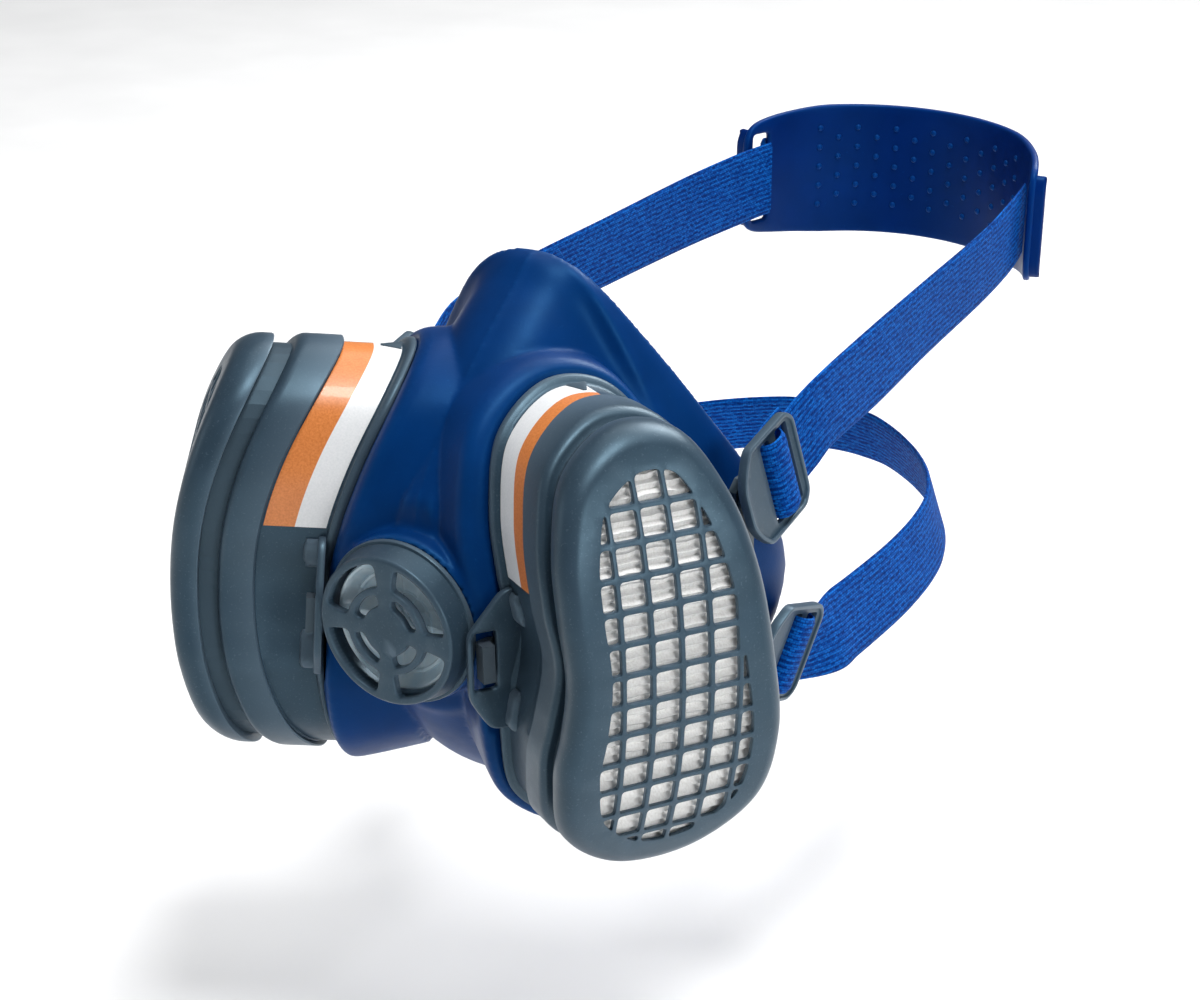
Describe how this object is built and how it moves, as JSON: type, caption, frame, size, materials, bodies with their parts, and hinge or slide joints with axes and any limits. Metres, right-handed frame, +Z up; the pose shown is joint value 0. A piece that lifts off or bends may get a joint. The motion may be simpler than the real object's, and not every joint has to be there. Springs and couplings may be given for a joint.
{
  "type": "half-mask respirator",
  "caption": "Half-mask respirator with a soft facepiece, twin clip-on filter cartridges, a front exhalation valve and an elastic harness with a head cradle.",
  "frame": {"origin": "on the exhalation valve's axis, in the plane of the nose edge of the face seal, where the mask meets the face", "axes": "-Y is the way the wearer looks, along the exhalation valve's axis; +Z is up; +X is the wearer's left"},
  "size_m": [0.1736, 0.3236, 0.137],
  "materials": {
    "facepiece_rubber": "satin",
    "cradle_rubber": "satin",
    "elastic_webbing": "knitted",
    "grey_plastic": "fine texture",
    "black_plastic": "satin",
    "black_rubber": "matte",
    "clear_silicone": "translucent",
    "filter_media": "pleated fleece",
    "carbon_granules": "granular",
    "label_paper": "printed film"
  },
  "bodies": {
    "mask": {"facepiece": "facepiece_rubber", "valve_housing": "grey_plastic", "valve_cover": "grey_plastic", "right_port_frame": "black_plastic", "left_port_frame": "black_plastic", "right_side_bracket": "black_plastic", "left_side_bracket": "black_plastic", "buckle_studs": "black_plastic"},
    "exhalation_valve": {"exhalation_diaphragm": "clear_silicone"},
    "right_intake_valve": {"right_inhalation_flap": "clear_silicone"},
    "left_intake_valve": {"left_inhalation_flap": "clear_silicone"},
    "right_latch": {"right_catch": "black_plastic"},
    "left_latch": {"left_catch": "black_plastic"},
    "right_filter": {"right_filter_housing": "grey_plastic", "right_cap_seal": "black_rubber", "right_filter_cap": "grey_plastic", "right_pleat_pack": "filter_media", "right_carbon_bed": "carbon_granules", "right_felt_pad": "filter_media", "right_filter_label": "label_paper", "right_spigot_seal": "black_rubber"},
    "left_filter": {"left_filter_housing": "grey_plastic", "left_cap_seal": "black_rubber", "left_filter_cap": "grey_plastic", "left_pleat_pack": "filter_media", "left_carbon_bed": "carbon_granules", "left_felt_pad": "filter_media", "left_filter_label": "label_paper", "left_spigot_seal": "black_rubber"},
    "upper_harness": {"upper_right_buckle": "grey_plastic", "upper_left_buckle": "grey_plastic", "upper_strap_right": "elastic_webbing", "upper_strap_left": "elastic_webbing"},
    "cradle": {"head_cradle": "cradle_rubber", "cradle_strap": "elastic_webbing"},
    "lower_harness": {"lower_right_buckle": "grey_plastic", "lower_left_buckle": "grey_plastic", "neck_strap": "elastic_webbing"}
  },
  "joints": [
    {"name": "upper_harness_swing", "type": "hinge", "parent": "mask", "child": "upper_harness", "pos_m": [0, 0.0077, 0.0186], "axis": [1, 0, 0], "range_deg": [-15, 40]},
    {"name": "cradle_tilt", "type": "hinge", "parent": "upper_harness", "child": "cradle", "pos_m": [0, 0.208, 0.0336], "axis": [1, 0, 0], "range_deg": [-8, 8]},
    {"name": "lower_harness_swing", "type": "hinge", "parent": "mask", "child": "lower_harness", "pos_m": [0, 0.011, -0.024], "axis": [1, 0, 0], "range_deg": [-30, 10]},
    {"name": "exhalation_lift", "type": "slide", "parent": "mask", "child": "exhalation_valve", "axis": [0, -1, 0], "range_m": [0, 0.0015], "stiffness_N_per_m": 40},
    {"name": "right_filter_pull", "type": "slide", "parent": "mask", "child": "right_filter", "axis": [0.827, -0.5578, 0.0698], "range_m": [0, 0.03]},
    {"name": "right_intake_lift", "type": "slide", "parent": "mask", "child": "right_intake_valve", "axis": [-0.827, 0.5578, -0.0698], "range_m": [0, 0.0015], "stiffness_N_per_m": 40},
    {"name": "right_catch_press", "type": "hinge", "parent": "mask", "child": "right_latch", "pos_m": [0.02338, -0.05283, -0.00391], "axis": [0.0578, -0.039, -0.9976], "range_deg": [0, 5], "stiffness_Nm_per_rad": 0.05},
    {"name": "left_filter_pull", "type": "slide", "parent": "mask", "child": "left_filter", "axis": [-0.827, -0.5578, 0.0698], "range_m": [0, 0.03]},
    {"name": "left_intake_lift", "type": "slide", "parent": "mask", "child": "left_intake_valve", "axis": [0.827, 0.5578, -0.0698], "range_m": [0, 0.0015], "stiffness_N_per_m": 40},
    {"name": "left_catch_press", "type": "hinge", "parent": "mask", "child": "left_latch", "pos_m": [-0.02338, -0.05283, -0.00391], "axis": [0.0578, 0.039, 0.9976], "range_deg": [0, 5], "stiffness_Nm_per_rad": 0.05}
  ]
}
